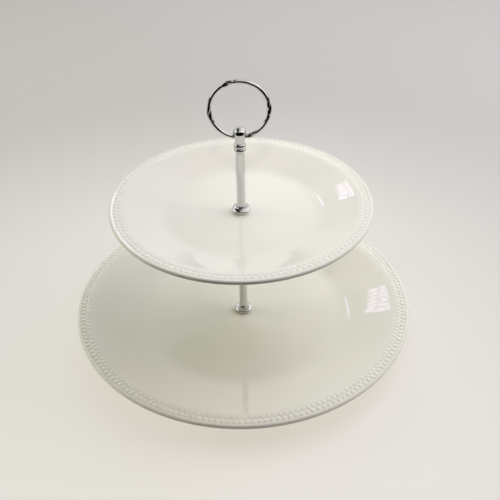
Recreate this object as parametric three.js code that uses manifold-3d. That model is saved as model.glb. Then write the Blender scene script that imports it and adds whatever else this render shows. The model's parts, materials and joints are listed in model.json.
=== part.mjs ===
// Tiered cake stand: two glazed plates, drilled through the middle and clamped on a
// chromed centre rod, with a ring handle that swings in the finial on top.
//
// Units are millimetres and +Z is up. The origin is on the rod's axis, in the plane of
// the table: the lower plate's foot ring rests on z = 0. The ring handle stands in the
// XZ plane and swings about a line along X.

import * as THREE from 'three';
import { mergeVertices } from 'three/addons/utils/BufferGeometryUtils.js';
import Module from 'manifold-3d';

const wasm = await Module();
wasm.setup();

// ---------------------------------------------------------------- driving dimensions

const CLEARANCE = 0.3; // round a stud, rod or ring in its hole
const TIP_CLEARANCE = 1; // past the end of a stud or screw in its blind hole
const TABLE_CLEARANCE = 0.8; // under the base screw's head

const STUD_RADIUS = 2; // M4
const ROD_RADIUS = 3.25;
const LOWER_ROD_LENGTH = 92;
const UPPER_ROD_LENGTH = 49;
const JOINING_ENGAGEMENT = 9; // length of stud in each rod
const SCREW_ENGAGEMENT = 9; // length of base screw in the lower rod
const FINIAL_ROD_ENGAGEMENT = 8;

const ROSETTE_RADIUS = 7.1;
const ROSETTE_HEIGHT = 3.6;
const ROSETTE_CROWN_LAND = 0.35; // flat top round the rod, where the bulging wall begins
const ROSETTE_FOOT_RADIUS = 5.9; // flat seat below the bulge
const ROSETTE_WEB = 1; // floor that the rod's end bears on

const SOFT_WASHER_THICKNESS = 0.8;
const TOP_WASHER_RADIUS = 6;
const UNDER_WASHER_RADIUS = 10;
const SUPPORT_WASHER_RADIUS = 9;
const SUPPORT_WASHER_THICKNESS = 1;
const BASE_WASHER_RADIUS = 12;
const BASE_WASHER_THICKNESS = 1;

const SCREW_HEAD_RADIUS = 4;
const SCREW_HEAD_HEIGHT = 2;
const SCREW_HEAD_CHAMFER = 0.8;
const RECESS_WIDTH = 1;
const RECESS_LENGTH = 4.6;
const RECESS_DEPTH = 1.1;

const BEAD_RADIUS = 4.4; // the finial's two beads
const BEAD_HEIGHT = 3.3;
const BEAD_WAIST = 3.3;
const NECK_FLOOR = 0.8; // the tapped hole ends this far below the neck
const NECK_RADIUS = 3.2;
const NECK_HEIGHT = 0.4;
const CUP_RADIUS = 4.5; // at its top: the cup is a cone that widens upwards
const CUP_HEIGHT = 7.2;
const BORE_DROP = 2.8; // bore centre below the cup's top
const DOME_RADIUS = 4.75;

const RING_RADIUS = 20.6; // to the wire's centreline
const WIRE_RADIUS = 1.5;
const KNOT_RADIUS = 1.9;
const KNOT_LENGTH = 9.5;
const KNOT_ANGLES = [3, 112, 187, 295]; // degrees round the ring, from +X towards +Z

const PLATE_HOLE_RADIUS = 4;
const BORDER_SLOPE = (4 * Math.PI) / 180; // the beaded border lies nearly level
const BORDER_MARGIN = 0.2; // width of the wall down from the plain strip to the beads
const FOOT_DRAFT = 1; // each side of a foot ring widens by this towards its root

const lowerPlate = {
  rimRadius: 135,
  lipRadius: 1.8,
  lipRise: 13.4, // the lip's centre above the well
  wellRadius: 76,
  vergeRadius: 40, // the curve from the well up to the rim
  floorThickness: 4,
  footHeight: SOFT_WASHER_THICKNESS + BASE_WASHER_THICKNESS + SCREW_HEAD_HEIGHT + TABLE_CLEARANCE,
  footRadius: 74,
  footWidth: 3,
  stripWidth: 0.7, // plain, between the lip and the beaded border
  beadRowWidth: 3.65,
  beadRelief: 0.6,
};

const upperPlate = {
  rimRadius: 97.8,
  lipRadius: 1.6,
  lipRise: 9.7,
  wellRadius: 53,
  vergeRadius: 30,
  floorThickness: 3.6,
  footHeight: 3.2,
  footRadius: 50,
  footWidth: 2.6,
  stripWidth: 1.3,
  beadRowWidth: 3.1,
  beadRelief: 0.55,
};

const BEAD_ROWS = 2;
const BEAD_SINK = 0.5; // share of the relief that lies below the plain strip
const PLATE_SEGMENTS = 64; // flats round a plate
const FINE_SEGMENTS = 32; // flats round the finial and the rosettes
const PLAIN_SEGMENTS = 24; // flats round the rods, studs and washers
const RING_SEGMENTS = 96;
const WIRE_SEGMENTS = 8;

// ---------------------------------------------------------------- heights of the stack

const screwHeadTop = TABLE_CLEARANCE + SCREW_HEAD_HEIGHT;
const lowerUnderWasherBase = screwHeadTop + BASE_WASHER_THICKNESS;
const lowerWellTop = lowerPlate.footHeight + lowerPlate.floorThickness;
const lowerRosetteBase = lowerWellTop + SOFT_WASHER_THICKNESS;
const lowerRodBase = lowerRosetteBase + ROSETTE_WEB;
const lowerRodTop = lowerRodBase + LOWER_ROD_LENGTH;

const upperUnderWasherBase = lowerRodTop + SUPPORT_WASHER_THICKNESS;
const upperFloorBase = upperUnderWasherBase + SOFT_WASHER_THICKNESS;
const upperPlateBase = upperFloorBase - upperPlate.footHeight;
const upperWellTop = upperFloorBase + upperPlate.floorThickness;
const upperRosetteBase = upperWellTop + SOFT_WASHER_THICKNESS;
const upperRodBase = upperRosetteBase + ROSETTE_WEB;
const upperRodTop = upperRodBase + UPPER_ROD_LENGTH;

const beadsTop = 2 * BEAD_HEIGHT;
const neckTop = beadsTop + NECK_HEIGHT;
const cupTop = neckTop + CUP_HEIGHT;
const boreHeight = cupTop - BORE_DROP;

// ---------------------------------------------------------------- sizes that follow

const studHole = STUD_RADIUS + CLEARANCE;
const screwLength = lowerRodBase - screwHeadTop + SCREW_ENGAGEMENT;
const joiningStudLength = upperRodBase - lowerRodTop + 2 * JOINING_ENGAGEMENT;
const finialHoleDepth = beadsTop - NECK_FLOOR;
const finialStudLength = FINIAL_ROD_ENGAGEMENT + finialHoleDepth - TIP_CLEARANCE;

// The curved wire rises between the middle of the straight bore and its mouths.
const wireRise = RING_RADIUS - Math.sqrt(RING_RADIUS ** 2 - CUP_RADIUS ** 2);
const boreRadius = WIRE_RADIUS + wireRise / 2 + CLEARANCE;

// ---------------------------------------------------------------- shared tools

const HALF_PI = Math.PI / 2;

function steps(count, from = 0, to = 1) {
  return Array.from({ length: count + 1 }, (_, i) => from + ((to - from) * i) / count);
}

function arc(r, z, radius, fromAngle, toAngle, count) {
  return steps(count, fromAngle, toAngle).map((angle) => [
    r + radius * Math.cos(angle),
    z + radius * Math.sin(angle),
  ]);
}

// A solid of revolution about Z from its section, a list of [radius, height].
function turned(section, segments) {
  const points = section.map(([r, z]) => new THREE.Vector2(r, z));
  const geometry = new THREE.LatheGeometry(points, segments);
  return geometry.rotateX(HALF_PI);
}

// A ring with a rectangular section, such as a washer.
function washer(outerRadius, thickness) {
  const section = [
    [studHole, 0],
    [outerRadius, 0],
    [outerRadius, thickness],
    [studHole, thickness],
    [studHole, 0],
  ];
  return turned(section, PLAIN_SEGMENTS);
}

function toSolid(geometry) {
  const bare = geometry.clone();
  bare.deleteAttribute('normal');
  bare.deleteAttribute('uv');
  const merged = mergeVertices(bare);
  const corners = merged.index.array;
  const faces = [];
  for (let i = 0; i < corners.length; i += 3) {
    const [a, b, c] = corners.slice(i, i + 3);
    const isFace = a !== b && b !== c && c !== a;
    if (isFace) faces.push(a, b, c);
  }
  const mesh = new wasm.Mesh({
    numProp: 3,
    vertProperties: merged.attributes.position.array,
    triVerts: Uint32Array.from(faces),
  });
  return new wasm.Manifold(mesh);
}

function toGeometry(solid) {
  const { vertProperties, triVerts } = solid.getMesh();
  const geometry = new THREE.BufferGeometry();
  geometry.setAttribute('position', new THREE.BufferAttribute(vertProperties, 3));
  geometry.setIndex(new THREE.BufferAttribute(triVerts, 1));
  const flat = geometry.toNonIndexed();
  flat.computeVertexNormals();
  return flat;
}

// ---------------------------------------------------------------- materials

const glaze = { color: 0xe6e2d6, roughness: 0.12, metalness: 0 };
const chrome = { color: 0xc9ccd0, roughness: 0.08, metalness: 1 };
const zincedSteel = { color: 0x9da1a6, roughness: 0.35, metalness: 1 };
const softPlastic = { color: 0xd8d6cf, roughness: 0.6, metalness: 0 };

const stand = new THREE.Group();

function add(name, geometry, finish, z = 0) {
  const mesh = new THREE.Mesh(geometry, new THREE.MeshStandardMaterial(finish));
  mesh.name = name;
  mesh.position.z = z;
  stand.add(mesh);
}

// ---------------------------------------------------------------- plates

// The section is drawn from the edge of the middle hole outwards over the top, round the
// lip, and back underneath over the foot ring. On top the rim rises straight from the
// verge's arc to the nearly level beaded border; underneath it runs straight on to the lip.
function plate(size) {
  const { rimRadius, lipRadius, wellRadius, vergeRadius, floorThickness } = size;
  const wellTop = size.footHeight + floorThickness;
  const lipR = rimRadius - lipRadius;
  const lipZ = wellTop + size.lipRise;
  const vergeZ = wellTop + vergeRadius;
  const underRadius = vergeRadius + floorThickness;

  // Slope of the line through a point that touches the verge's arc, drawn with a radius.
  function slopeTo(r, z, radius) {
    const distance = Math.hypot(r - wellRadius, vergeZ - z);
    return Math.atan2(r - wellRadius, vergeZ - z) - Math.acos(radius / distance);
  }

  // Height on the border's own slope, which runs inwards from the top of the lip.
  const lipTopR = lipR - lipRadius * Math.sin(BORDER_SLOPE);
  const lipTopZ = lipZ + lipRadius * Math.cos(BORDER_SLOPE);
  const borderHeight = (r) => lipTopZ - (lipTopR - r) * Math.tan(BORDER_SLOPE);

  const stripStart = lipTopR - size.stripWidth;
  const borderEnd = stripStart - BORDER_MARGIN;
  const borderStart = borderEnd - BEAD_ROWS * size.beadRowWidth;
  const rimEnd = borderStart - BORDER_MARGIN;
  const topSlope = slopeTo(rimEnd, borderHeight(rimEnd), vergeRadius);
  const top = arc(wellRadius, vergeZ, vergeRadius, -HALF_PI, topSlope - HALF_PI, 4);

  const border = [[rimEnd, borderHeight(rimEnd)]];
  for (let row = BEAD_ROWS; row > 0; row -= 1) {
    const inner = borderEnd - row * size.beadRowWidth;
    for (const t of [0, 0.25, 0.5, 0.75]) {
      const r = inner + t * size.beadRowWidth;
      const lift = size.beadRelief * (Math.sin(Math.PI * t) - BEAD_SINK);
      border.push([r, borderHeight(r) + lift]);
    }
  }
  border.push([borderEnd, borderHeight(borderEnd) - size.beadRelief * BEAD_SINK]);
  border.push([stripStart, borderHeight(stripStart)]);

  // The underside's straight part touches both arcs, the verge's and the lip's.
  const underSlope = slopeTo(lipR, lipZ, underRadius - lipRadius);
  const lip = [
    ...arc(lipR, lipZ, lipRadius, HALF_PI + BORDER_SLOPE, 0, 3),
    ...arc(lipR, lipZ, lipRadius, 0, underSlope - HALF_PI, 3).slice(1),
  ];

  const footOutside = size.footRadius + size.footWidth / 2;
  const footInside = size.footRadius - size.footWidth / 2;
  const footRoot = footOutside + FOOT_DRAFT;
  const vergeEnd = wellRadius + underRadius * Math.sin(underSlope);
  const underHeight = (r) => vergeZ - Math.sqrt(underRadius ** 2 - Math.max(0, r - wellRadius) ** 2);
  const under = steps(3, vergeEnd, footRoot).map((r) => [r, underHeight(r)]);

  const section = [
    [PLATE_HOLE_RADIUS, wellTop],
    ...top,
    ...border,
    ...lip,
    ...under,
    [footOutside, 0],
    [footInside, 0],
    [footInside - FOOT_DRAFT, size.footHeight],
    [PLATE_HOLE_RADIUS, size.footHeight],
    [PLATE_HOLE_RADIUS, wellTop],
  ];
  return turned(section.reverse(), PLATE_SEGMENTS);
}

add('lower_plate', plate(lowerPlate), glaze);
add('upper_plate', plate(upperPlate), glaze, upperPlateBase);

// ---------------------------------------------------------------- rods and their feet

// A round bar with a blind tapped hole in each end.
function rod(length, lowerHoleDepth, upperHoleDepth) {
  const section = [
    [0, lowerHoleDepth],
    [studHole, lowerHoleDepth],
    [studHole, 0],
    [ROD_RADIUS, 0],
    [ROD_RADIUS, length],
    [studHole, length],
    [studHole, length - upperHoleDepth],
    [0, length - upperHoleDepth],
  ];
  return turned(section, PLAIN_SEGMENTS);
}

// A bulging ring round the rod's end, with a thin floor that the rod bears on.
function rosette() {
  const rodHole = ROD_RADIUS + CLEARANCE;
  const crownRadius = rodHole + ROSETTE_CROWN_LAND;
  const bulge = ROSETTE_RADIUS - crownRadius;
  const footAngle = -Math.acos((ROSETTE_FOOT_RADIUS - crownRadius) / bulge);
  const halfHeight = ROSETTE_HEIGHT / (1 - Math.sin(footAngle));
  const wall = steps(9, footAngle, HALF_PI).map((angle) => [
    crownRadius + bulge * Math.cos(angle),
    halfHeight * (Math.sin(angle) - Math.sin(footAngle)),
  ]);
  const section = [
    [studHole, 0],
    ...wall,
    [rodHole, ROSETTE_HEIGHT],
    [rodHole, ROSETTE_WEB],
    [studHole, ROSETTE_WEB],
    [studHole, 0],
  ];
  return turned(section, FINE_SEGMENTS);
}

const screwHoleDepth = SCREW_ENGAGEMENT + TIP_CLEARANCE;
const joiningHoleDepth = JOINING_ENGAGEMENT + TIP_CLEARANCE;
add('lower_rod', rod(LOWER_ROD_LENGTH, screwHoleDepth, JOINING_ENGAGEMENT), chrome, lowerRodBase);
add('upper_rod', rod(UPPER_ROD_LENGTH, joiningHoleDepth, FINIAL_ROD_ENGAGEMENT), chrome, upperRodBase);
add('lower_rod_foot', rosette(), chrome, lowerRosetteBase);
add('upper_rod_foot', rosette(), chrome, upperRosetteBase);

// ---------------------------------------------------------------- washers

const topWasher = washer(TOP_WASHER_RADIUS, SOFT_WASHER_THICKNESS);
const underWasher = washer(UNDER_WASHER_RADIUS, SOFT_WASHER_THICKNESS);
const supportWasher = washer(SUPPORT_WASHER_RADIUS, SUPPORT_WASHER_THICKNESS);
const baseWasher = washer(BASE_WASHER_RADIUS, BASE_WASHER_THICKNESS);
add('lower_top_washer', topWasher, softPlastic, lowerWellTop);
add('upper_top_washer', topWasher.clone(), softPlastic, upperWellTop);
add('lower_under_washer', underWasher, softPlastic, lowerUnderWasherBase);
add('upper_under_washer', underWasher.clone(), softPlastic, upperUnderWasherBase);
add('support_washer', supportWasher, zincedSteel, lowerRodTop);
add('base_washer', baseWasher, zincedSteel, screwHeadTop);

// ---------------------------------------------------------------- studs and base screw

function stud(length) {
  const section = [
    [0, 0],
    [STUD_RADIUS, 0],
    [STUD_RADIUS, length],
    [0, length],
  ];
  return turned(section, PLAIN_SEGMENTS);
}

// Its bearing face is at z = 0: the shank stands above it and the head hangs below.
function baseScrew() {
  const section = [
    [0, -SCREW_HEAD_HEIGHT],
    [SCREW_HEAD_RADIUS - SCREW_HEAD_CHAMFER, -SCREW_HEAD_HEIGHT],
    [SCREW_HEAD_RADIUS, SCREW_HEAD_CHAMFER - SCREW_HEAD_HEIGHT],
    [SCREW_HEAD_RADIUS, 0],
    [STUD_RADIUS, 0],
    [STUD_RADIUS, screwLength],
    [0, screwLength],
  ];
  let screw = toSolid(turned(section, PLAIN_SEGMENTS));
  for (const angle of [0, HALF_PI]) {
    const slot = new THREE.BoxGeometry(RECESS_LENGTH, RECESS_WIDTH, 2 * RECESS_DEPTH);
    slot.rotateZ(angle).translate(0, 0, -SCREW_HEAD_HEIGHT);
    screw = screw.subtract(toSolid(slot));
  }
  return toGeometry(screw);
}

add('joining_stud', stud(joiningStudLength), zincedSteel, lowerRodTop - JOINING_ENGAGEMENT);
add('finial_stud', stud(finialStudLength), zincedSteel, upperRodTop - FINIAL_ROD_ENGAGEMENT);
add('base_screw', baseScrew(), zincedSteel, screwHeadTop);

// ---------------------------------------------------------------- finial and ring handle

// Two beads, a neck, a cup with the ring's cross bore, and a dome. Its base is at z = 0.
function finial() {
  const section = [
    [0, finialHoleDepth],
    [studHole, finialHoleDepth],
    [studHole, 0],
    [BEAD_WAIST, 0],
  ];
  for (const base of [0, BEAD_HEIGHT]) {
    for (const angle of steps(6, -HALF_PI, HALF_PI).slice(1)) {
      const r = BEAD_WAIST + (BEAD_RADIUS - BEAD_WAIST) * Math.cos(angle);
      section.push([r, base + (BEAD_HEIGHT * (1 + Math.sin(angle))) / 2]);
    }
  }
  section.push([NECK_RADIUS, beadsTop]);
  section.push([NECK_RADIUS, neckTop], [CUP_RADIUS, cupTop]);
  const dome = arc(0, cupTop, DOME_RADIUS, 0, HALF_PI, 7).slice(0, -1);
  section.push(...dome, [0, cupTop + DOME_RADIUS]);

  const bore = new THREE.CylinderGeometry(boreRadius, boreRadius, 4 * CUP_RADIUS, PLAIN_SEGMENTS);
  bore.rotateZ(HALF_PI).translate(0, 0, boreHeight);
  const casting = toSolid(turned(section, FINE_SEGMENTS));
  return toGeometry(casting.subtract(toSolid(bore)));
}

// A wire ring standing in the XZ plane, with a spindle-shaped knot at each knot angle.
function ring() {
  const geometry = new THREE.TorusGeometry(RING_RADIUS, WIRE_RADIUS, WIRE_SEGMENTS, RING_SEGMENTS);
  const knotHalfAngle = KNOT_LENGTH / 2 / RING_RADIUS;
  const centreline = new THREE.Vector3();
  const vertex = new THREE.Vector3();
  const position = geometry.attributes.position;
  for (let i = 0; i < position.count; i += 1) {
    vertex.fromBufferAttribute(position, i);
    const angle = Math.atan2(vertex.y, vertex.x);
    centreline.set(RING_RADIUS * Math.cos(angle), RING_RADIUS * Math.sin(angle), 0);
    let growth = 0;
    for (const degrees of KNOT_ANGLES) {
      const turn = angle - THREE.MathUtils.degToRad(degrees);
      const away = Math.atan2(Math.sin(turn), Math.cos(turn)) / knotHalfAngle;
      if (Math.abs(away) < 1) growth = (1 + Math.cos(Math.PI * away)) / 2;
    }
    const scale = 1 + growth * (KNOT_RADIUS / WIRE_RADIUS - 1);
    vertex.sub(centreline).multiplyScalar(scale).add(centreline);
    position.setXYZ(i, vertex.x, vertex.y, vertex.z);
  }
  geometry.computeVertexNormals();
  return geometry.rotateX(HALF_PI);
}

const pivotHeight = upperRodTop + boreHeight;
add('finial', finial(), chrome, upperRodTop);
add('ring_handle', ring(), chrome, pivotHeight - wireRise / 2 + RING_RADIUS);

export default stand;
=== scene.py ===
# %% [markdown]
# # A two-tier cake stand
#
# The stand is two glazed plates on a chromed centre rod. A rosette presses on each plate
# from above, washers and a screw hold it from below, and a ring handle swings in the
# finial at the top.
#
# The construction is already modelled as plain solids. Here each of them gets its fine
# shape and its finish. Everything is in metres, in the solids' own frame: +Z is up, the
# rod is the Z axis, and the table is z = 0.

import json
import math

import bmesh
import bpy
from mathutils import Matrix, Vector


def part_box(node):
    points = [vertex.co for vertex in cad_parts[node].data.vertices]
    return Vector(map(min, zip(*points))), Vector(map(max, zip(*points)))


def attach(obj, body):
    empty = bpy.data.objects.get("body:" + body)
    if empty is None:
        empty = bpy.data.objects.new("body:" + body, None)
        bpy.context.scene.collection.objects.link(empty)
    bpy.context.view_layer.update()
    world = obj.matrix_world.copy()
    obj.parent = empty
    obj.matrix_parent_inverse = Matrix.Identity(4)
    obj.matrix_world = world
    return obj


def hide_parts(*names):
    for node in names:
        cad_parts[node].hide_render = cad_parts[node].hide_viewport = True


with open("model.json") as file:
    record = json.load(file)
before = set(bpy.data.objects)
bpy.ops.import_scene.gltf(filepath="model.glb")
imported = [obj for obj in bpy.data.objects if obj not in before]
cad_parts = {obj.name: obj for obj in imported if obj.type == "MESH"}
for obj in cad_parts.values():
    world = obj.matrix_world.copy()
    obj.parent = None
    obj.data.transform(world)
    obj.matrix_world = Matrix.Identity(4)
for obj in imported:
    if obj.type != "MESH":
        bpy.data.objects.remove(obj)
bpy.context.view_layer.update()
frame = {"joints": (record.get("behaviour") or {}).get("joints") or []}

MM = 0.001
TURN = 2 * math.pi
BLACK = (0, 0, 0, 1)

# %% [markdown]
# ## Camera
#
# A product shot of tableware looks down at about 35 to 40 degrees, so that both plates
# open up as ellipses. The camera stands a little over half a metre away and leans by
# less than a degree. Its turn is built from two rotations: one tips it down from the
# upright, one rolls it about its own line of sight.

# %% Camera
CAMERA_PLACE = Vector((0.0061, -0.42866, 0.39374))
CAMERA_PITCH = math.radians(37.0)
CAMERA_ROLL = math.radians(-0.786)
FOCAL_LENGTH_MM = 49.07
SENSOR_WIDTH_MM = 36.0

lens = bpy.data.cameras.new("camera")
lens.lens = FOCAL_LENGTH_MM
lens.sensor_width = SENSOR_WIDTH_MM
camera = bpy.data.objects.new("camera", lens)
bpy.context.scene.collection.objects.link(camera)
tip = Matrix.Rotation(math.pi / 2 - CAMERA_PITCH, 4, "X")
roll = Matrix.Rotation(CAMERA_ROLL, 4, "Z")
camera.matrix_world = Matrix.Translation(CAMERA_PLACE) @ tip @ roll
bpy.context.scene.camera = camera
print("camera at", [round(c, 3) for c in camera.location])

# %% [markdown]
# ## Writing shaders as sums
#
# A material is a graph of nodes, and wiring arithmetic by hand hides the formula. `Wire`
# wraps one output socket, so that `1 - mask * 0.5` adds the Math nodes by itself. Plain
# numbers are still worked out in Python. `Finish` owns one material, and its `node`
# method makes any other node.


# %% Shader tools
class Wire:
    """An output socket that can be used in sums."""

    def __init__(self, finish, socket):
        self.finish = finish
        self.socket = socket

    def math(self, operation, first, second):
        return self.finish.node("ShaderNodeMath", {"operation": operation}, {0: first, 1: second})

    def __add__(self, other):
        return self.math("ADD", self, other)

    def __radd__(self, other):
        return self.math("ADD", other, self)

    def __sub__(self, other):
        return self.math("SUBTRACT", self, other)

    def __rsub__(self, other):
        return self.math("SUBTRACT", other, self)

    def __mul__(self, other):
        return self.math("MULTIPLY", self, other)

    def __rmul__(self, other):
        return self.math("MULTIPLY", other, self)

    def __lt__(self, other):
        return self.math("LESS_THAN", self, other)


class Graph:
    """The nodes of one material or of the sky."""

    def __init__(self, tree):
        self.tree = tree

    def node(self, kind, settings=None, values=None, output=0):
        made = self.tree.nodes.new(kind)
        for name, value in (settings or {}).items():
            setattr(made, name, value)
        for name, value in (values or {}).items():
            self.feed(made.inputs[name], value)
        return Wire(self, made.outputs[output])

    def feed(self, socket, value):
        if isinstance(value, Wire):
            self.tree.links.new(value.socket, socket)
        else:
            socket.default_value = value

    def band(self, value, low, high):
        """0 below low, 1 above high, smooth between."""
        settings = {"interpolation_type": "SMOOTHSTEP"}
        values = {"Value": value, "From Min": low, "From Max": high}
        return self.node("ShaderNodeMapRange", settings, values)

    def blend(self, share, first, second):
        """Mixes two colours."""
        values = {0: share, 6: first, 7: second}
        return self.node("ShaderNodeMix", {"data_type": "RGBA"}, values, output=2)


class Finish(Graph):
    """One material."""

    def __init__(self, name):
        self.material = bpy.data.materials.new(name)
        self.material.use_nodes = True
        super().__init__(self.material.node_tree)
        self.shader = self.tree.nodes["Principled BSDF"]

    def set(self, **values):
        for name, value in values.items():
            self.feed(self.shader.inputs[name.replace("_", " ")], value)

    def place(self, scale=(1, 1, 1)):
        """Object coordinates, stretched by scale. An object's own units are metres."""
        coordinates = self.node("ShaderNodeTexCoord", output="Object")
        return self.node("ShaderNodeMapping", {}, {"Vector": coordinates, "Scale": scale})

    def noise(self, size, detail=2.0, place=None):
        """Soft noise with blobs of about size metres."""
        vector = place or self.place()
        values = {"Vector": vector, "Scale": 1 / size, "Detail": detail}
        return self.node("ShaderNodeTexNoise", {}, values)

    def relief(self, height):
        """A normal that stands for a height given in millimetres."""
        return self.node("ShaderNodeBump", {}, {"Height": height, "Distance": MM})

    def attribute(self, name):
        """A number that the mesh carries on its points."""
        return self.node("ShaderNodeAttribute", {"attribute_name": name}, output="Fac")


print("shader tools ready")

# %% [markdown]
# ## Modelling by turning
#
# All of these parts but the ring are turned, as on a potter's wheel or a lathe. So one
# helper spins an outline about Z and closes it. An outline may end on the axis, where
# the spun points fall together and are merged into a pole.

# %% Mesh tools
TOUCH = 0.001 * MM
MERGE_REACH = 0.002 * MM
EDGE_TURN = math.radians(30)
EDGE_SEGMENTS = 3
SMOOTH_UP_TO = math.radians(40)


def arc(centre_r, centre_z, radius, start, end, count):
    """Points on an arc in the half plane of an outline."""
    angles = [start + (end - start) * i / count for i in range(count + 1)]
    return [(centre_r + radius * math.cos(a), centre_z + radius * math.sin(a)) for a in angles]


def spin(outline, steps, closed=False):
    """Turns an outline of (radius, height) points about Z."""
    shape = bmesh.new()
    points = [shape.verts.new((r, 0, z)) for r, z in outline]
    edges = [shape.edges.new(pair) for pair in zip(points, points[1:])]
    if closed:
        edges.append(shape.edges.new((points[-1], points[0])))
    bmesh.ops.spin(
        shape,
        geom=points + edges,
        axis=(0, 0, 1),
        cent=(0, 0, 0),
        angle=TURN,
        steps=steps,
        use_merge=True,
    )
    bmesh.ops.remove_doubles(shape, verts=shape.verts, dist=MERGE_REACH)
    bmesh.ops.recalc_face_normals(shape, faces=shape.faces)
    return shape


def ring_edges(shape):
    """The edges that run round a turned shape, where its wall turns sharply."""
    found = []
    for edge in shape.edges:
        a, b = edge.verts
        level = abs(a.co.z - b.co.z) < TOUCH
        if level and edge.calc_face_angle(0.0) > EDGE_TURN:
            found.append(edge)
    return found


def round_rings(shape, width):
    """Rounds the sharp rings of a turned shape."""
    bmesh.ops.bevel(
        shape,
        geom=ring_edges(shape),
        offset=width,
        offset_type="OFFSET",
        affect="EDGES",
        segments=EDGE_SEGMENTS,
        profile=0.5,
        material=-1,
    )


def as_object(name, shape):
    mesh = bpy.data.meshes.new(name)
    shape.to_mesh(mesh)
    shape.free()
    thing = bpy.data.objects.new(name, mesh)
    bpy.context.scene.collection.objects.link(thing)
    return thing


def cut(shape, *tools):
    """Takes the tools' shapes out of a closed shape."""
    block = as_object("block", shape)
    for tool in tools:
        cutter = as_object("cutter", tool)
        cutting = block.modifiers.new("cut", "BOOLEAN")
        cutting.operation = "DIFFERENCE"
        cutting.solver = "EXACT"
        cutting.object = cutter
    shaped = block.evaluated_get(bpy.context.evaluated_depsgraph_get())
    result = bmesh.new()
    result.from_mesh(shaped.to_mesh())
    shaped.to_mesh_clear()
    for cutting in block.modifiers:
        bpy.data.objects.remove(cutting.object)
    bpy.data.objects.remove(block)
    return result


def make_piece(name, shape, finish, slot, body, *nodes):
    """Turns a bmesh into a shown piece that stands for some of the solids."""
    piece = as_object(name, shape)
    mesh = piece.data
    mesh.shade_smooth()
    mesh.set_sharp_from_angle(angle=SMOOTH_UP_TO)
    mesh.materials.append(finish.material)
    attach(piece, body)
    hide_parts(*nodes)
    print(name, len(mesh.polygons), "faces")


# %% [markdown]
# ## Glaze
#
# Cream earthenware under a clear, glossy glaze. The melted glaze runs off high places
# and pools in low ones, so a moulded border is paler on its crests, and warmer and a
# little darker in its hollows. The surface isn't optically flat either: broad, shallow
# waves make the reflections wander. A few iron specks show in any cream body. The bottom
# of the foot ring is wiped bare before firing, and shows the matt clay.
#
# `pool`, `crest` and `bare` are numbers that the plate's mesh carries on its points.

# %% Glaze colour
glaze = Finish("cream_glaze")
CREAM = (0.80, 0.77, 0.665, 1)
POOLED = (0.66, 0.62, 0.49, 1)
THIN = (0.88, 0.855, 0.75, 1)
CREST_TINT = 0.5
SPECK = (0.42, 0.33, 0.22, 1)
BISCUIT = (0.70, 0.63, 0.53, 1)
CLOUD_SIZE = 45 * MM
CLOUD_TINT = 0.22
POOL_TINT = 0.15
SPECK_SPACING = 14 * MM
SPECK_REACH = 0.012
SPECK_TINT = 0.6
GRAIN_SIZE = 0.35 * MM
GRAIN_TINT = 0.5

clouds = glaze.noise(CLOUD_SIZE, detail=3)
pool = glaze.attribute("pool")
crest = glaze.attribute("crest")
bare = glaze.attribute("bare")
spacing = {"Vector": glaze.place(), "Scale": 1 / SPECK_SPACING}
speck = glaze.node("ShaderNodeTexVoronoi", {}, spacing, "Distance") < SPECK_REACH
body_colour = glaze.blend(clouds * CLOUD_TINT + pool * POOL_TINT, CREAM, POOLED)
body_colour = glaze.blend(crest * CREST_TINT, body_colour, THIN)
glazed_colour = glaze.blend(speck * SPECK_TINT, body_colour, SPECK)
grains = glaze.noise(GRAIN_SIZE, detail=4)
clay_colour = glaze.blend(grains * GRAIN_TINT, BISCUIT, CREAM)
glaze.set(Base_Color=glaze.blend(bare, glazed_colour, clay_colour))
print("glaze colour:", len(glaze.tree.nodes), "nodes")

# %% Glaze surface
GLAZE_IOR = 1.5
GLAZE_ROUGHNESS = 0.02
SMEAR_SIZE = 12 * MM
SMEAR_ROUGHNESS = 0.04
POOL_ROUGHNESS = 0.04
CLAY_ROUGHNESS = 0.6
WAVE_SIZE = 20 * MM
WAVE_HEIGHT = 0.06  # the heights are in millimetres, as relief() expects
PEEL_SIZE = 1.6 * MM
PEEL_HEIGHT = 0.003
GRAIN_HEIGHT = 0.05

smears = glaze.noise(SMEAR_SIZE, detail=4)
glazed_roughness = GLAZE_ROUGHNESS + SMEAR_ROUGHNESS * smears + POOL_ROUGHNESS * pool
waves = glaze.noise(WAVE_SIZE, detail=1)
orange_peel = glaze.noise(PEEL_SIZE, detail=1)
height = WAVE_HEIGHT * waves + PEEL_HEIGHT * orange_peel + GRAIN_HEIGHT * grains * bare
glaze.set(
    Roughness=glazed_roughness + bare * CLAY_ROUGHNESS,
    IOR=GLAZE_IOR,
    Normal=glaze.relief(height),
)
print("glaze surface:", len(glaze.tree.nodes), "nodes in all")

# %% [markdown]
# ## Plates
#
# Both plates have one section: a flat well, a curved verge, a straight rim, a nearly
# level border, a rounded lip and a foot ring. A caster's mould gives all of it at once.
# The rim runs from the border's inner edge and has to touch the verge's arc, so its
# slope comes from the tangent through a point.
#
# The beaded border is real relief. The plate is spun with one step for each bead, which
# is plenty for the plain parts. Then only the border's rings are subdivided, and each
# of their points is lifted by the height of the bead that it lies on.

# %% Plate sizes
BEAD_ROWS = 2
LOWER_BEADS = 195
UPPER_BEADS = 136


def plate_sizes(node, **own):
    low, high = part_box(node)
    sizes = {"radius": high.x, "base": low.z}
    sizes.update({name: value * MM for name, value in own.items()})
    sizes["well_z"] = low.z + sizes["foot_height"] + sizes["floor"]
    sizes["lip_z"] = sizes["well_z"] + sizes["rise"]
    return sizes


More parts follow.
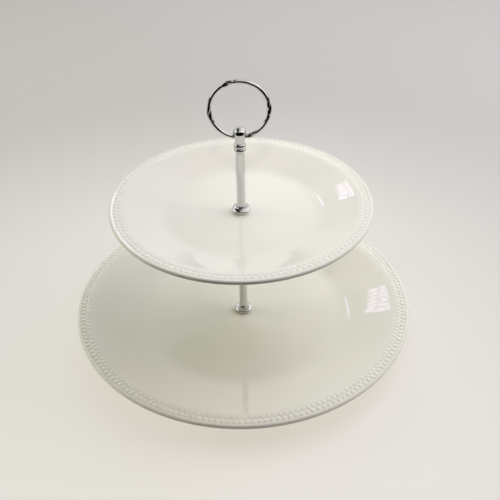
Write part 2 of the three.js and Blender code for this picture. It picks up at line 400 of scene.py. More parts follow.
lower = plate_sizes(
    "lower_plate",
    lip=1.8,
    rise=13.4,
    well=76,
    verge=40,
    floor=4,
    foot_height=4.6,
    foot_radius=74,
    foot_width=3,
    strip=0.7,
    row=3.65,
    relief=0.62,
)
upper = plate_sizes(
    "upper_plate",
    lip=1.6,
    rise=9.7,
    well=53,
    verge=30,
    floor=3.6,
    foot_height=3.2,
    foot_radius=50,
    foot_width=2.6,
    strip=1.3,
    row=3.1,
    relief=0.42,
)
lower["beads"] = LOWER_BEADS
upper["beads"] = UPPER_BEADS
HOLE_RADIUS = 4 * MM
FOOT_DRAFT = 1 * MM
BORDER_SLOPE = math.radians(4)
BORDER_WALL = 0.2 * MM
for sizes in (lower, upper):
    pitch = TURN * (sizes["radius"] - sizes["row"]) / sizes["beads"]
    print("bead pitch", round(pitch / MM, 2), "mm")


# %% Plate outline
RINGS_PER_ROW = 8
WELL_RINGS = 10
VERGE_RINGS = 8
RIM_RINGS = 8
LIP_RINGS = 16
UNDER_RINGS = 10
FLOOR_RINGS = 8


def spread(start, end, count):
    """Evenly spaced values after start, up to and with end."""
    return [start + (end - start) * i / count for i in range(1, count + 1)]


def plate_outline(sizes):
    """The plate's section, and the radii where its beads start and end."""
    lip, verge, well = sizes["lip"], sizes["verge"], sizes["well"]
    floor_bottom = sizes["base"] + sizes["foot_height"]
    lip_r, lip_z = sizes["radius"] - lip, sizes["lip_z"]
    verge_z = sizes["well_z"] + verge
    under = verge + sizes["floor"]
    quarter = math.pi / 2

    def touching(r, z, radius):
        """Slope of the line through a point that touches the verge's arc."""
        out, down = r - well, verge_z - z
        return math.atan2(out, down) - math.acos(radius / math.hypot(out, down))

    crest_r = lip_r - lip * math.sin(BORDER_SLOPE)
    crest_z = lip_z + lip * math.cos(BORDER_SLOPE)

    def border(r):
        return r, crest_z - (crest_r - r) * math.tan(BORDER_SLOPE)

    strip_start = crest_r - sizes["strip"]
    border_end = strip_start - BORDER_WALL
    border_start = border_end - BEAD_ROWS * sizes["row"]
    rim_end = border(border_start - BORDER_WALL)
    top_slope = touching(*rim_end, verge)
    under_slope = touching(lip_r, lip_z, under - lip)
    verge_end = well + verge * math.sin(top_slope)

    def rim(r):
        return r, rim_end[1] - (rim_end[0] - r) * math.tan(top_slope)

    rings = BEAD_ROWS * RINGS_PER_ROW
    outline = [(HOLE_RADIUS, sizes["well_z"])]
    outline += [(r, sizes["well_z"]) for r in spread(HOLE_RADIUS, well, WELL_RINGS)]
    outline += arc(well, verge_z, verge, -quarter, top_slope - quarter, VERGE_RINGS)[1:]
    outline += [rim(r) for r in spread(verge_end, rim_end[0], RIM_RINGS)]
    outline += [border(border_start)]
    outline += [border(r) for r in spread(border_start, border_end, rings)]
    outline += [border(strip_start)]
    outline += arc(lip_r, lip_z, lip, quarter + BORDER_SLOPE, under_slope - quarter, LIP_RINGS)
    outline += arc(well, verge_z, under, under_slope - quarter, -quarter, UNDER_RINGS)[:-1]

    foot = sizes["foot_radius"]
    half = sizes["foot_width"] / 2
    outline = [point for point in outline if point[1] > floor_bottom or point[0] > foot + half]
    outline += [
        (foot + half + FOOT_DRAFT, floor_bottom),
        (foot + half, sizes["base"]),
        (foot - half, sizes["base"]),
        (foot - half - FOOT_DRAFT, floor_bottom),
    ]
    outline += [(r, floor_bottom) for r in spread(foot - half - FOOT_DRAFT, HOLE_RADIUS, FLOOR_RINGS)]
    return outline, border_start, border_end


for sizes in (lower, upper):
    outline, border_start, border_end = plate_outline(sizes)
    start_mm, end_mm = round(border_start / MM, 2), round(border_end / MM, 2)
    print("outline of", len(outline), "points, beads from", start_mm, "to", end_mm, "mm")


# %% [markdown]
# ### Bead relief
#
# Each bead is an oval dome, longer along the radius than across. The two rows are
# staggered by half a bead, so they nest, and their domes meet in soft creases. The
# height of a point is that of the highest dome over it. The border starts level with
# the rim and sinks towards the lip, where a small wall closes the row of pits.

# %% Bead height
BEAD_OVERLAP = 1.12
BEAD_FULLNESS = 0.6
INNER_ROW_SHARE = 0.6


def bead_height(r, angle, sizes, border_end):
    """How far a border point is lifted, as a share of the relief."""
    best = 0.0
    for row in range(BEAD_ROWS):
        middle = border_end - (row + 0.5) * sizes["row"]
        across = TURN * middle / sizes["beads"] / 2
        turn = angle * sizes["beads"] / TURN + 0.5 * row
        along = (turn - round(turn)) * 2 * across
        apart = (along / across) ** 2 + ((r - middle) / (sizes["row"] / 2 * BEAD_OVERLAP)) ** 2
        dome = max(0.0, 1 - apart) ** BEAD_FULLNESS
        best = max(best, dome * (INNER_ROW_SHARE if row else 1.0))
    return best


crest = bead_height(border_end - upper["row"] / 2, 0.0, upper, border_end)
print("a bead's crest stands", round(crest * upper["relief"] / MM, 2), "mm high")

# %% Add the beads
CUTS_PER_BEAD = 7
BEAD_SINK = 0.75


def add_beads(shape, sizes, border_start, border_end):
    """Cuts the border's rings finely and lifts their points. Returns how many there are."""

    def on_border(vert):
        r = vert.co.xy.length
        return border_start - TOUCH < r < border_end + TOUCH and vert.co.z > sizes["lip_z"]

    def runs_round(edge):
        a, b = edge.verts
        return abs(a.co.xy.length - b.co.xy.length) < TOUCH

    rounds = [e for e in shape.edges if runs_round(e) and all(map(on_border, e.verts))]
    bmesh.ops.subdivide_edges(shape, edges=rounds, cuts=CUTS_PER_BEAD, use_grid_fill=True)
    pool_layer = shape.verts.layers.float.new("pool")
    crest_layer = shape.verts.layers.float.new("crest")
    lifted = list(filter(on_border, shape.verts))
    for vert in lifted:
        r = vert.co.xy.length
        share = bead_height(r, math.atan2(vert.co.y, vert.co.x), sizes, border_end)
        sink = BEAD_SINK * (r - border_start) / (border_end - border_start)
        vert.co.z += (share - sink) * sizes["relief"]
        vert[pool_layer] = 1 - share
        vert[crest_layer] = share
    return len(lifted)


print("each bead is", CUTS_PER_BEAD + 1, "faces wide and", RINGS_PER_ROW, "long")

# %% Make the plates
WIPED_HEIGHT = 0.1 * MM


def make_plate(name, sizes):
    outline, border_start, border_end = plate_outline(sizes)
    shape = spin(outline, sizes["beads"], closed=True)
    lifted = add_beads(shape, sizes, border_start, border_end)
    bare_layer = shape.verts.layers.float.new("bare")
    for vert in shape.verts:
        vert[bare_layer] = 1.0 if vert.co.z < sizes["base"] + WIPED_HEIGHT else 0.0
    print(name, "has", lifted, "points in its beads")
    make_piece("glazed_" + name, shape, glaze, "glaze", "stand", name)


make_plate("lower_plate", lower)
make_plate("upper_plate", upper)

# %% [markdown]
# ## Chrome
#
# Bright chrome plating is a near-perfect mirror, so what it shows is the room. What
# makes it look handled is faint: a haze of finger marks that only changes the
# roughness, and very fine lines from polishing, which run round each turned part. The
# lines come from a noise that is stretched ten times along X and Y and not along Z.

# %% Chrome
chrome = Finish("bright_chrome")
CHROME_LIGHT = (0.70, 0.70, 0.70, 1)
CHROME_DULL = (0.60, 0.60, 0.59, 1)
CHROME_ROUGHNESS = 0.035
MARK_SIZE = 4 * MM
MARK_ROUGHNESS = 0.06
POLISH_SIZE = 0.12 * MM
POLISH_STRETCH = (0.1, 0.1, 1)
POLISH_HEIGHT = 0.0015

marks = chrome.noise(MARK_SIZE, detail=3)
polish = chrome.noise(POLISH_SIZE, detail=2, place=chrome.place(POLISH_STRETCH))
chrome.set(
    Base_Color=chrome.blend(marks, CHROME_LIGHT, CHROME_DULL),
    Metallic=1.0,
    Roughness=CHROME_ROUGHNESS + MARK_ROUGHNESS * marks,
    Normal=chrome.relief(POLISH_HEIGHT * polish),
)
print("chrome:", len(chrome.tree.nodes), "nodes")

# %% [markdown]
# ## Zinc and plastic
#
# The screw, the studs and the two steel washers sit out of sight and are only zinc
# plated: blue-grey, duller, and cloudy where the zinc has settled unevenly. The washers
# that touch the glaze are milky plastic, so that metal never grinds on it. Plastic
# lets a little light in, which a small subsurface weight stands for.

# %% Steel
steel = Finish("zinc_plated_steel")
ZINC_LIGHT = (0.62, 0.64, 0.66, 1)
ZINC_DULL = (0.42, 0.43, 0.42, 1)
SPANGLE_SIZE = 1.2 * MM
ZINC_ROUGHNESS = 0.26
SPANGLE_ROUGHNESS = 0.22
PITTING_SIZE = 0.15 * MM
PITTING_HEIGHT = 0.004

spangle = steel.noise(SPANGLE_SIZE, detail=4)
steel.set(
    Base_Color=steel.blend(spangle, ZINC_LIGHT, ZINC_DULL),
    Metallic=1.0,
    Roughness=ZINC_ROUGHNESS + SPANGLE_ROUGHNESS * spangle,
    Normal=steel.relief(PITTING_HEIGHT * steel.noise(PITTING_SIZE, detail=3)),
)
print("steel:", len(steel.tree.nodes), "nodes")

# %% Plastic
plastic = Finish("milky_plastic")
MILKY = (0.78, 0.77, 0.73, 1)
YELLOWED = (0.66, 0.62, 0.52, 1)
FLOW_SIZE = 3 * MM
FLOW_TINT = 0.6
PLASTIC_ROUGHNESS = 0.42
FLOW_ROUGHNESS = 0.2
MOULD_GRAIN = 0.4 * MM
MOULD_HEIGHT = 0.01
SUBSURFACE_SHARE = 0.15
SUBSURFACE_REACH = (MM, MM, MM)

flow = plastic.noise(FLOW_SIZE, detail=3)
plastic.set(
    Base_Color=plastic.blend(flow * FLOW_TINT, MILKY, YELLOWED),
    Roughness=PLASTIC_ROUGHNESS + FLOW_ROUGHNESS * flow,
    Subsurface_Weight=SUBSURFACE_SHARE,
    Subsurface_Radius=SUBSURFACE_REACH,
    Normal=plastic.relief(MOULD_HEIGHT * plastic.noise(MOULD_GRAIN, detail=2)),
)
print("plastic:", len(plastic.tree.nodes), "nodes")

# %% [markdown]
# ## Rods
#
# The centre rod comes in two lengths of chromed bar, drilled and tapped at both ends
# for the studs and the base screw. A rod is a rectangle spun about Z, with a blind
# hole at either end. The turned edges get a small bevel: a real edge is never quite sharp,
# and the bevel catches a thin line of light. `SUPPORT` adds a ring near each end, so
# that smooth shading stays flat along the tube.

# %% Rods
ROD_STEPS = 64
THREAD_HOLE = 2.3 * MM
SUPPORT = 0.5 * MM
ROD_EDGE = 0.15 * MM
BOTTOM_HOLE = 10 * MM
JOINING_HOLE = 9 * MM
FINIAL_HOLE = 8 * MM


def rod_outline(node, lower_depth, upper_depth):
    low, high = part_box(node)
    return [
        (0, low.z + lower_depth),
        (THREAD_HOLE, low.z + lower_depth),
        (THREAD_HOLE, low.z),
        (high.x, low.z),
        (high.x, low.z + SUPPORT),
        (high.x, high.z - SUPPORT),
        (high.x, high.z),
        (THREAD_HOLE, high.z),
        (THREAD_HOLE, high.z - upper_depth),
        (0, high.z - upper_depth),
    ]


def make_rod(name, lower_depth, upper_depth):
    shape = spin(rod_outline(name, lower_depth, upper_depth), ROD_STEPS)
    round_rings(shape, ROD_EDGE)
    make_piece("polished_" + name, shape, chrome, "chrome", "stand", name)


make_rod("lower_rod", BOTTOM_HOLE, JOINING_HOLE)
make_rod("upper_rod", BOTTOM_HOLE, FINIAL_HOLE)

# %% [markdown]
# ## Rosettes
#
# A pressed, chromed rosette slides over the foot of each rod and spreads its grip on
# the plate. Its side is a full, rounded roll that is widest a little below the middle,
# so its outline is part of an ellipse: the angle runs from below the waist up to the
# crown, where a small roll turns down to the rod. It could be a squashed torus, but an
# outline gives the flat underside and the hole in the same turn.

# %% Rosettes
ROD_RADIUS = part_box("upper_rod")[1].x
ROD_PLAY = 0.12 * MM
CROWN_RADIUS = 3.9 * MM
CROWN_ROLL = 0.25 * MM
FOOT_RADIUS = 5.9 * MM
WEB = 1 * MM
SIDE_RINGS = 28
ROLL_RINGS = 5


def make_rosette(name):
    low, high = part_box(name)
    hole = ROD_RADIUS + ROD_PLAY
    bulge = high.x - CROWN_RADIUS
    foot_angle = -math.acos((FOOT_RADIUS - CROWN_RADIUS) / bulge)
    half_height = (high.z - low.z) / (1 - math.sin(foot_angle))
    outline = [(THREAD_HOLE, low.z)]
    for angle in [foot_angle] + spread(foot_angle, math.pi / 2, SIDE_RINGS):
        rise = half_height * (math.sin(angle) - math.sin(foot_angle))
        outline.append((CROWN_RADIUS + bulge * math.cos(angle), low.z + rise))
    roll_z = high.z - CROWN_ROLL
    outline += arc(hole + CROWN_ROLL, roll_z, CROWN_ROLL, math.pi / 2, math.pi, ROLL_RINGS)
    outline += [(hole, low.z + WEB), (THREAD_HOLE, low.z + WEB)]
    shape = spin(outline, ROD_STEPS, closed=True)
    make_piece("polished_" + name, shape, chrome, "chrome", "stand", name)


make_rosette("lower_rod_foot")
make_rosette("upper_rod_foot")

# %% [markdown]
# ## Washers
#
# Six flat rings lie between the metal and the glaze, and under the lower plate. Each
# is a closed rectangle spun about Z with its four rings rounded: softly where it is
# moulded plastic, a little less where it is stamped steel.

# %% Washers
PLASTIC_EDGE = 0.25 * MM
STEEL_EDGE = 0.2 * MM


def make_washer(name, finish, slot, rounding):
    low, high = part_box(name)
    outline = [(THREAD_HOLE, low.z), (high.x, low.z), (high.x, high.z), (THREAD_HOLE, high.z)]
    shape = spin(outline, ROD_STEPS, closed=True)
    round_rings(shape, rounding)
    make_piece("fine_" + name, shape, finish, slot, "stand", name)


for name in ("lower_top", "upper_top", "lower_under", "upper_under"):
    make_washer(name + "_washer", plastic, "soft_plastic", PLASTIC_EDGE)
for name in ("support", "base"):
    make_washer(name + "_washer", steel, "steel", STEEL_EDGE)

# %% [markdown]
# ## Finial
#
# The finial is turned from one piece of bar: two beads, a short neck, a cup that opens
# to a cylinder, and a ball on top, which is parted from the cup by a fine groove. A
# bore goes through it crosswise, and the ring's wire runs in that bore. The turned
# shape is one outline. The bore crosses it at a right angle, which spinning can't
# make, so it is taken out with a Boolean cut and leaves clean, closed edges.

# %% Finial outline
low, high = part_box("finial")
BEAD_COUNT = 2
BEAD_RADIUS = 4.4 * MM
BEAD_HEIGHT = 3.3 * MM
BEAD_WAIST = 3.3 * MM
BEAD_RINGS = 16
NECK_RADIUS = 3.2 * MM
NECK_HEIGHT = 0.4 * MM
CUP_RADIUS = 4.5 * MM
CUP_RINGS = (0.08, 0.5, 0.92)
GROOVE_HEIGHT = 0.12 * MM
GROOVE_DEPTH = 0.2 * MM
HOLE_DEPTH = 5.8 * MM
BALL_RINGS = 16
BALL_START = math.radians(5)
ball_radius = high.x
ball_z = high.z - ball_radius

outline = [(0, low.z + HOLE_DEPTH), (THREAD_HOLE, low.z + HOLE_DEPTH), (THREAD_HOLE, low.z)]
for bead in range(BEAD_COUNT):
    for angle in [-math.pi / 2] + spread(-math.pi / 2, math.pi / 2, BEAD_RINGS):
        r = BEAD_WAIST + (BEAD_RADIUS - BEAD_WAIST) * math.cos(angle)
        outline.append((r, low.z + BEAD_HEIGHT * (bead + (1 + math.sin(angle)) / 2)))
beads_top = low.z + BEAD_COUNT * BEAD_HEIGHT
neck_top = beads_top + NECK_HEIGHT
outline += [(NECK_RADIUS, beads_top), (NECK_RADIUS, neck_top)]
for share in CUP_RINGS:
    r = NECK_RADIUS + (CUP_RADIUS - NECK_RADIUS) * share
    outline.append((r, neck_top + (ball_z - neck_top) * share))
outline += [(CUP_RADIUS, ball_z - GROOVE_HEIGHT)]
outline += [(ball_radius - GROOVE_DEPTH, ball_z), (ball_radius, ball_z + GROOVE_DEPTH)]
outline += arc(0, ball_z, ball_radius, BALL_START, math.pi / 2, BALL_RINGS)
print("finial outline:", len(outline), "points")

# %% Turn and bore the finial
FINIAL_STEPS = 96
BORE_RADIUS = 2.05 * MM
BORE_STEPS = 48
BORE_TOOL_LENGTH = 4 * CUP_RADIUS
hinge = next(joint for joint in frame["joints"] if joint["name"] == "ring_swing")

bore = bmesh.new()
bmesh.ops.create_cone(
    bore,
    cap_ends=True,
    segments=BORE_STEPS,
    radius1=BORE_RADIUS,
    radius2=BORE_RADIUS,
    depth=BORE_TOOL_LENGTH,
)
bmesh.ops.rotate(bore, verts=bore.verts, cent=(0, 0, 0), matrix=Matrix.Rotation(math.pi / 2, 3, "Y"))
bmesh.ops.translate(bore, verts=bore.verts, vec=(0, 0, hinge["pos_m"][2]))
bored = cut(spin(outline, FINIAL_STEPS), bore)
make_piece("polished_finial", bored, chrome, "chrome", "stand", "finial")

# %% [markdown]
# ## Ring handle
#
# The handle is a ring of wire with four knots in it, in which two strands are twisted
# together for a short way. Two wires that really cross would need to be welded where
# they meet. Instead the ring is one tube, a circle spun about Y, and each knot pushes
# the tube's points outwards to the outline of two strands side by side, an outline
# that turns as it goes along. The swell fades in and out as a cosine does.

# %% Ring handle sizes
low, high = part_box("ring_handle")
WIRE_RADIUS = 1.5 * MM
RING_RADIUS = 20.6 * MM
KNOTS = [math.radians(angle) for angle in (3, 112, 187, 295)]
KNOT_LENGTH = 9.5 * MM
STRANDS = 2
STRAND_RADIUS = 1.4 * MM
STRAND_OFFSET = 0.5 * MM
TWIST = 0.3 * TURN
RING_STEPS = 720
WIRE_STEPS = 48
ring_centre_z = high.z - WIRE_RADIUS - RING_RADIUS


def section_radius(around, swell, twist):
    """Distance from the centre to the outside of strands laid side by side."""
    offset = STRAND_OFFSET * swell
    strand = WIRE_RADIUS + (STRAND_RADIUS - WIRE_RADIUS) * swell
    reach = 0.0
    for k in range(STRANDS):
        turn = around - twist - TURN * k / STRANDS
        under_root = strand**2 - (offset * math.sin(turn)) ** 2
        if under_root > 0:
            reach = max(reach, offset * math.cos(turn) + math.sqrt(under_root))
    return reach


print("a knot is", round(2 * section_radius(0, 1, 0) / MM, 2), "mm across at its widest")

# %% Ring handle
shape = bmesh.new()
bmesh.ops.create_circle(shape, segments=WIRE_STEPS, radius=WIRE_RADIUS)
bmesh.ops.translate(shape, verts=shape.verts, vec=(RING_RADIUS, 0, 0))
bmesh.ops.spin(
    shape,
    geom=shape.verts[:] + shape.edges[:],
    axis=(0, 1, 0),
    cent=(0, 0, 0),
    angle=TURN,
    steps=RING_STEPS,
    use_merge=True,
)
for vert in shape.verts:
    angle = math.atan2(vert.co.z, vert.co.x)
    outwards = Vector((math.cos(angle), 0, math.sin(angle)))
    from_wire = vert.co - outwards * RING_RADIUS
    around = math.atan2(from_wire.y, from_wire.dot(outwards))
    for knot in KNOTS:
        along = math.remainder(angle - knot, TURN) * RING_RADIUS / (KNOT_LENGTH / 2)
        if abs(along) < 1:
            swell = math.sqrt((1 + math.cos(math.pi * along)) / 2)
            from_wire *= section_radius(around, swell, along * TWIST / 2) / WIRE_RADIUS
    vert.co = outwards * RING_RADIUS + from_wire
bmesh.ops.translate(shape, verts=shape.verts, vec=(0, 0, ring_centre_z))
bmesh.ops.recalc_face_normals(shape, faces=shape.faces)
make_piece("polished_ring_handle", shape, chrome, "chrome", "ring", "ring_handle")

# %% [markdown]
# ## Threads
#
# The studs join the rods, and the base screw pulls the whole stack together. A thread
# is a ridge that climbs by one pitch in each turn. Spin can do that by itself: with
# `dvec`, each step also moves the section a little upwards. The ridge starts and ends
# as a closed solid that is sunk into a plain core, so nothing has to be welded.

# %% Threads
THREAD_RADIUS = 2 * MM
THREAD_ROOT = 1.6 * MM
THREAD_PITCH = 0.7 * MM
THREAD_TIP = 0.4 * MM
RIDGE_SUNK = 0.1 * MM
CREST_SHARE = 0.15
STEPS_PER_TURN = 24


def add_thread(shape, bottom, top):
    """Winds a ridge with a flat crest up the plain core of a screw."""
    turns = int((top - bottom) / THREAD_PITCH) - 1
    half = THREAD_PITCH / 2
    root = THREAD_ROOT - RIDGE_SUNK
    crest = CREST_SHARE * half
    ridge = [(root, -half), (root, half), (THREAD_RADIUS, crest), (THREAD_RADIUS, -crest)]
    start = [shape.verts.new((r, 0, bottom + half + z)) for r, z in ridge]
    end_cap = shape.faces.new(start)
    bmesh.ops.spin(
        shape,
        geom=[end_cap],
        axis=(0, 0, 1),
        cent=(0, 0, 0),
        dvec=(0, 0, THREAD_PITCH / STEPS_PER_TURN),
        angle=TURN * turns,
        steps=STEPS_PER_TURN * turns,
        use_duplicate=False,
    )
    print("thread of", turns, "turns")


# %% Studs
def make_stud(name):
    low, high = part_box(name)
    tip = THREAD_TIP
    outline = [(0, low.z), (THREAD_ROOT - tip, low.z), (THREAD_ROOT, low.z + tip)]
    outline += [(THREAD_ROOT, high.z - tip), (THREAD_ROOT - tip, high.z), (0, high.z)]
    shape = spin(outline, STEPS_PER_TURN)
    add_thread(shape, low.z + tip, high.z - tip)
    make_piece("threaded_" + name, shape, steel, "steel", "stand", name)


make_stud("finial_stud")
make_stud("joining_stud")

# %% [markdown]
# ## Base screw
#
# The screw's shallow domed head is all that shows under the stand. A dome of a given
# width and height is part of a sphere, and Pythagoras gives its radius. The cross
# recess is two crossed blocks that are narrower inside, cut out of the dome.

# %% Base screw
low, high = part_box("base_screw")
HEAD_HEIGHT = 2 * MM
HEAD_EDGE = 0.5 * MM
HEAD_RINGS = 8
RECESS_LENGTH = 4.4 * MM
RECESS_WIDTH = 1.0 * MM
RECESS_DEPTH = 1.3 * MM
RECESS_TAPER = 0.6

head_top = low.z + HEAD_HEIGHT
dome = HEAD_HEIGHT - HEAD_EDGE
dome_radius = (high.x**2 + dome**2) / (2 * dome)
half_angle = math.asin(high.x / dome_radius)
down = -math.pi / 2
outline = arc(0, low.z + dome_radius, dome_radius, down, half_angle + down, HEAD_RINGS)
outline += [(high.x, head_top), (THREAD_ROOT, head_top)]
outline += [(THREAD_ROOT, high.z - THREAD_TIP), (THREAD_ROOT - THREAD_TIP, high.z), (0, high.z)]

recess = bmesh.new()
bmesh.ops.create_cube(recess, size=1)
bmesh.ops.scale(recess, verts=recess.verts, vec=(RECESS_LENGTH, RECESS_WIDTH, 2 * RECESS_DEPTH))
crossed = bmesh.ops.duplicate(recess, geom=recess.verts[:] + recess.edges[:] + recess.faces[:])
bmesh.ops.rotate(
    recess,
    verts=[g for g in crossed["geom"] if isinstance(g, bmesh.types.BMVert)],
    cent=(0, 0, 0),
    matrix=Matrix.Rotation(math.pi / 2, 3, "Z"),
)
for vert in recess.verts:
    if vert.co.z > 0:
        vert.co.xy *= RECESS_TAPER
bmesh.ops.translate(recess, verts=recess.verts, vec=(0, 0, low.z))

shape = cut(spin(outline, ROD_STEPS), recess)
add_thread(shape, head_top + THREAD_PITCH, high.z - THREAD_PITCH)
make_piece("threaded_base_screw", shape, steel, "steel", "stand", "base_screw")

# %% [markdown]
# ## Studio floor
#
# The stand is on pale paper. Its emission is painted light. It stands in for the light
# that a bright room throws on the paper from all round, more than a few lamps can do,
# and it lifts the shadows under the stand: a painted pool of light, warmer and stronger
# under the plates, cooler and weaker away from it.

# %% Studio floor
FLOOR_SIZE = 4.0
# Painted light: where the painted pool of light on the paper is centred and where it fades, and the glow
# that is painted in it and away from it.
LIGHT_POOL_CENTRE = (-0.03, -0.12, 0)
LIGHT_POOL_INNER = 0.05
LIGHT_POOL_OUTER = 0.6
PAINTED_LIGHT_NEAR = (0.5264, 0.5049, 0.4465, 1)
PAINTED_LIGHT_FAR = (0.209, 0.188, 0.1534, 1)
PAPER = (0.34, 0.33, 0.32, 1)

floor_shape = bmesh.new()
bmesh.ops.create_grid(floor_shape, x_segments=1, y_segments=1, size=FLOOR_SIZE)
floor = as_object("studio_floor", floor_shape)
paper = Finish("paper_with_painted_light")
spot = paper.node("ShaderNodeTexCoord", output="Object")
shift = {"Vector": spot, "Location": [-c for c in LIGHT_POOL_CENTRE]}
centred = paper.node("ShaderNodeMapping", {}, shift)
away = paper.node("ShaderNodeVectorMath", {"operation": "LENGTH"}, {0: centred}, "Value")
paper.set(
    Base_Color=PAPER,
    Roughness=1.0,
    Specular_IOR_Level=0.0,
    # The emission paints light on the paper: a pool of painted light under the stand that lightens its
    # shadows.
    Emission_Color=paper.blend(paper.band(away, LIGHT_POOL_INNER, LIGHT_POOL_OUTER), PAINTED_LIGHT_NEAR, PAINTED_LIGHT_FAR),
    Emission_Strength=1.0,
)
floor.data.materials.append(paper.material)
print("floor:", 2 * FLOOR_SIZE, "m square")

# %% [markdown]
# ## Lights
#
# Five large, soft lamps stand round the stand and aim at its middle. The larger a lamp
# is, the softer its shadow. The chrome and the glaze don't mirror them, because their
# mirror image is set up apart, by the light tent below: so light and reflections can
# be tuned one after the other.

# %% Lights
AIM = Vector((0, 0, 0.1))
LAMPS = [
    # name, place, size, watts, tint
    ("key", (0.85, 0.75, 1.00), (0.7, 0.7), 5.43, (0.89, 0.90, 1.23)),
    ("side", (1.15, 0.10, 0.75), (0.9, 0.9), 9.3, (1.00, 1.00, 0.99)),
    ("left", (-1.20, 0.20, 0.40), (0.9, 0.7), 7.90, (1.01, 1.05, 0.89)),
    ("top", (0.00, 0.20, 1.40), (1.8, 1.8), 10.9, (1.01, 0.96, 1.05)),
    ("back", (0.00, 1.30, 0.90), (1.2, 1.2), 6.80, (0.93, 1.08, 1.11)),
]


def soft_light(name, place, size, watts, tint):
    """A rectangular lamp, aimed at the middle of the stand."""
    light = bpy.data.lights.new(name, "AREA")
    light.shape = "RECTANGLE"
    light.size, light.size_y = size
    light.energy = watts
    light.color = tint
    lamp = bpy.data.objects.new(name, light)
    bpy.context.scene.collection.objects.link(lamp)
    lamp.location = place
    lamp.rotation_euler = (AIM - Vector(place)).to_track_quat("-Z", "Y").to_euler()
    lamp.visible_camera = False
    lamp.visible_glossy = False


for lamp_values in LAMPS:
    soft_light(*lamp_values)
print(len(LAMPS), "lamps")

# %% [markdown]
# ## Snoot
#
# The far side of the upper plate leans towards the camera and mirrors the dark front
# of the room, so it would look dull. A snoot, which is a lamp with a narrow tube,
# lifts just that side. It stands above the camera, so that the rod hides the shadow
# that it throws. A spot lamp with full blend fades out towards the edge of its beam.

# %% Snoot
SNOOT_PLACE = Vector((0.02, -0.62, 0.72))
SNOOT_AIM = Vector((0.037, 0.063, 0.117))
SNOOT_ANGLE = math.radians(13)
SNOOT_WATTS = 9.0
SNOOT_RADIUS = 0.06
SNOOT_BLEND = 1.0

beam = bpy.data.lights.new("snoot", "SPOT")
beam.energy = SNOOT_WATTS
beam.spot_size = SNOOT_ANGLE
beam.spot_blend = SNOOT_BLEND
beam.shadow_soft_size = SNOOT_RADIUS
snoot = bpy.data.objects.new("snoot", beam)
bpy.context.scene.collection.objects.link(snoot)
snoot.location = SNOOT_PLACE
snoot.rotation_euler = (SNOOT_AIM - SNOOT_PLACE).to_track_quat("-Z", "Y").to_euler()
snoot.visible_camera = False
snoot.visible_glossy = False
print("snoot at", [round(c, 2) for c in SNOOT_PLACE])

# %% [markdown]
# ## Light tent
#
# Chrome shows whatever is round it, so in a studio it stands in a tent of lit cloth.
# Here the tent is a large sphere that only mirrors can see. Where it is bright, chrome is
# bright. A dark slot, where the camera looks in, and a dark patch of roof give the rod
# and the ball their dark lines, without which chrome looks like grey plastic. The
# pattern reads the sphere's own coordinates: `right`, `back` and `up` are the parts of
# the direction to a point of the cloth, and `bearing` is its compass angle.


# %% Light tent
def mirrored_only(card):
    """Lets chrome and glaze mirror the card, and hides it from everything else."""
    card.visible_camera = False
    card.visible_diffuse = False
    card.visible_shadow = False


TENT_RADIUS = 2.5
TENT_SEGMENTS = 48
TENT_RINGS = 24
TENT_STRENGTH = 1.3
CLOTH_DARK = (0.003, 0.003, 0.003, 1)
CLOTH_LIT = (1.0, 0.99, 0.97, 1)
CLOTH_BASE = 0.6
RIGHT_GLOW = 0.9
LEFT_GLOW = 0.5
SLOT_SLANT = 0.85
# each pair says where a mask starts to fade in and where it is full
SLOT_START = (-1.30, -1.15)
SLOT_END = (0.40, 0.52)
SLOT_TOP = (0.61, 0.73)
SLANT_END = (0.45, 0.66)
ROOF_START = (0.70, 0.80)
ROOF_SIDE = (0.02, 0.22)
WALL_START = (0.08, 0.18)
RIGHT_FADE = (0.25, 0.7)
LEFT_FADE = (0.6, 0.95)

tent_shape = bmesh.new()
bmesh.ops.create_uvsphere(tent_shape, u_segments=TENT_SEGMENTS, v_segments=TENT_RINGS, radius=TENT_RADIUS)
tent = as_object("light_tent", tent_shape)
cloth = Finish("lit_cloth")
place = cloth.node("ShaderNodeTexCoord", output="Object")
way = cloth.node("ShaderNodeVectorMath", {"operation": "NORMALIZE"}, {0: place}, "Vector")
right, back, up = [cloth.node("ShaderNodeSeparateXYZ", {}, {"Vector": way}, axis) for axis in "XYZ"]
bearing = right.math("ARCTAN2", right, 0 - back)
low_down = 1 - cloth.band(up, *SLANT_END)
slot = cloth.band(bearing, *SLOT_START)
slot = slot * (1 - cloth.band(bearing - SLOT_SLANT * low_down, *SLOT_END))
slot = slot * (1 - cloth.band(up, *SLOT_TOP))
roof = cloth.band(up, *ROOF_START) * cloth.band(0 - right, *ROOF_SIDE)
wall = cloth.band(up, *WALL_START)
glow = RIGHT_GLOW * cloth.band(right, *RIGHT_FADE) + LEFT_GLOW * cloth.band(0 - right, *LEFT_FADE)
share = (1 - slot) * (1 - roof) * wall * (CLOTH_BASE + glow)
cloth.set(
    Base_Color=BLACK,
    Roughness=1.0,
    Specular_IOR_Level=0.0,
    Emission_Color=cloth.blend(share, CLOTH_DARK, CLOTH_LIT),
    Emission_Strength=TENT_STRENGTH,
)
tent.data.materials.append(cloth.material)
mirrored_only(tent)
print("tent:", len(cloth.tree.nodes), "nodes")

# %% [markdown]
# ## Black felt
#
# Two sheets of felt make the darks. The first lies on the floor round the stand's
# front and only mirrors see it: it puts the dark underline on the ball, the beads and
# the rosettes. It is a circle's edge, extruded and scaled outwards to a wide ring, of
# which the faces in front are kept.
#
# The second is a flag, as a black card is called in a studio. It takes away the light
# that the paper in front would throw up under the plates' lips, so their outer faces
# go dark. It is clear from above by a material whose alpha reads `Backfacing`, so the
# paper itself stays evenly lit.

# %% Mirrored felt
FELT = (0.01, 0.01, 0.01, 1)
FELT_INNER = 0.27
FELT_STEPS = 72
FELT_WIDENED = 5
FELT_CENTRE = (0, 0.08, 0.002)
FELT_SECTOR = (math.radians(-60), math.radians(50))


def in_front(place):
    return FELT_SECTOR[0] < math.atan2(place.x, -place.y) < FELT_SECTOR[1]


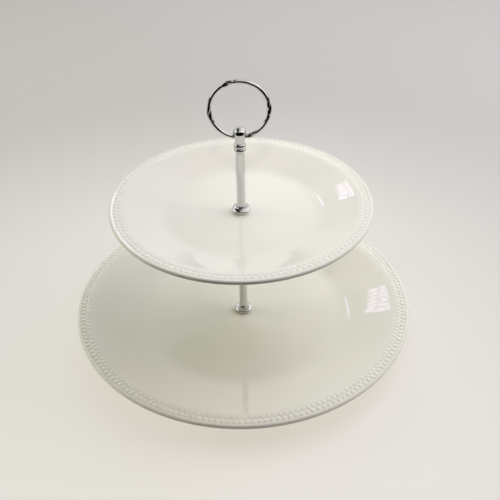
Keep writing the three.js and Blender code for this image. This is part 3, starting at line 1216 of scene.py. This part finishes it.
felt_shape = bmesh.new()
bmesh.ops.create_circle(felt_shape, segments=FELT_STEPS, radius=FELT_INNER)
hem = bmesh.ops.extrude_edge_only(felt_shape, edges=felt_shape.edges[:])
outer = [g for g in hem["geom"] if isinstance(g, bmesh.types.BMVert)]
bmesh.ops.scale(felt_shape, verts=outer, vec=(FELT_WIDENED, FELT_WIDENED, 1))
sides = [f for f in felt_shape.faces if not in_front(f.calc_center_median())]
bmesh.ops.delete(felt_shape, geom=sides, context="FACES")
bmesh.ops.translate(felt_shape, verts=felt_shape.verts, vec=FELT_CENTRE)
dark_floor = as_object("dark_floor", felt_shape)
black = Finish("black_felt")
black.set(Base_Color=FELT, Roughness=1.0, Specular_IOR_Level=0.0)
dark_floor.data.materials.append(black.material)
mirrored_only(dark_floor)
print("mirrored felt:", len(dark_floor.data.polygons), "faces")

# %% Front flag
FLAG_SIZE = 1.2
FLAG_PLACE = (0, -1.4, 0.002)

flag_shape = bmesh.new()
bmesh.ops.create_grid(flag_shape, x_segments=1, y_segments=1, size=FLAG_SIZE)
bmesh.ops.translate(flag_shape, verts=flag_shape.verts, vec=FLAG_PLACE)
flag = as_object("front_flag", flag_shape)
one_sided = Finish("one_sided_felt")
from_below = one_sided.node("ShaderNodeNewGeometry", output="Backfacing")
one_sided.set(Base_Color=FELT, Specular_IOR_Level=0.0, Alpha=1 - from_below)
flag.data.materials.append(one_sided.material)
flag.visible_camera = False
flag.visible_shadow = False
print("flag:", 2 * FLAG_SIZE, "m square")

# %% [markdown]
# ## Window
#
# A window at the back, to the left, leaves a small lilac spot on the right of each
# glazed rim. Only mirrors see it. It is a grid whose panes are inset one by one, and
# the frames between them are deleted. It hangs far away, because a near one would
# show in the flat wells as well.

# %% Window
PANES = (3, 6)
PANE_FRAME = 0.03
GRID_HALF = 0.5
WINDOW_SIZE = (0.11, 0.36, 1)
WINDOW_LEAN = math.radians(15)
WINDOW_PLACE = (-0.39, 1.5, 1.27)
DAYLIGHT = (1.0, 0.85, 1.2, 1)
DAYLIGHT_STRENGTH = 5.0

panes = bmesh.new()
bmesh.ops.create_grid(panes, x_segments=PANES[0], y_segments=PANES[1], size=GRID_HALF)
frames = bmesh.ops.inset_individual(panes, faces=panes.faces[:], thickness=PANE_FRAME)
bmesh.ops.delete(panes, geom=frames["faces"], context="FACES")
bmesh.ops.scale(panes, verts=panes.verts, vec=WINDOW_SIZE)
for angle, axis in ((WINDOW_LEAN, "Z"), (math.pi / 2, "X")):
    turned = Matrix.Rotation(angle, 3, axis)
    bmesh.ops.rotate(panes, verts=panes.verts, cent=(0, 0, 0), matrix=turned)
bmesh.ops.translate(panes, verts=panes.verts, vec=WINDOW_PLACE)
window = as_object("window_panes", panes)
daylight = Finish("daylight")
daylight.set(Base_Color=BLACK, Emission_Color=DAYLIGHT, Emission_Strength=DAYLIGHT_STRENGTH)
window.data.materials.append(daylight.material)
mirrored_only(window)
print("window:", len(window.data.polygons), "panes")

# %% [markdown]
# ## Room
#
# The sky gives no light: the lamps and the painted glow of the paper do. It is pale only
# where the camera looks straight at it, past the end of the paper in views from the side.
# The Standard view transform shows the pale glaze and the paper as bright as they are.

# %% Room
WALL = (0.60, 0.58, 0.55, 1)

world = bpy.data.worlds.new("studio_sky")
bpy.context.scene.world = world
world.use_nodes = True
room = Graph(world.node_tree)
seen = room.node("ShaderNodeLightPath", output="Is Camera Ray")
background = world.node_tree.nodes["Background"]
room.feed(background.inputs["Color"], room.blend(seen, BLACK, WALL))
bpy.context.scene.view_settings.view_transform = "Standard"
print("room:", len(room.tree.nodes), "nodes")
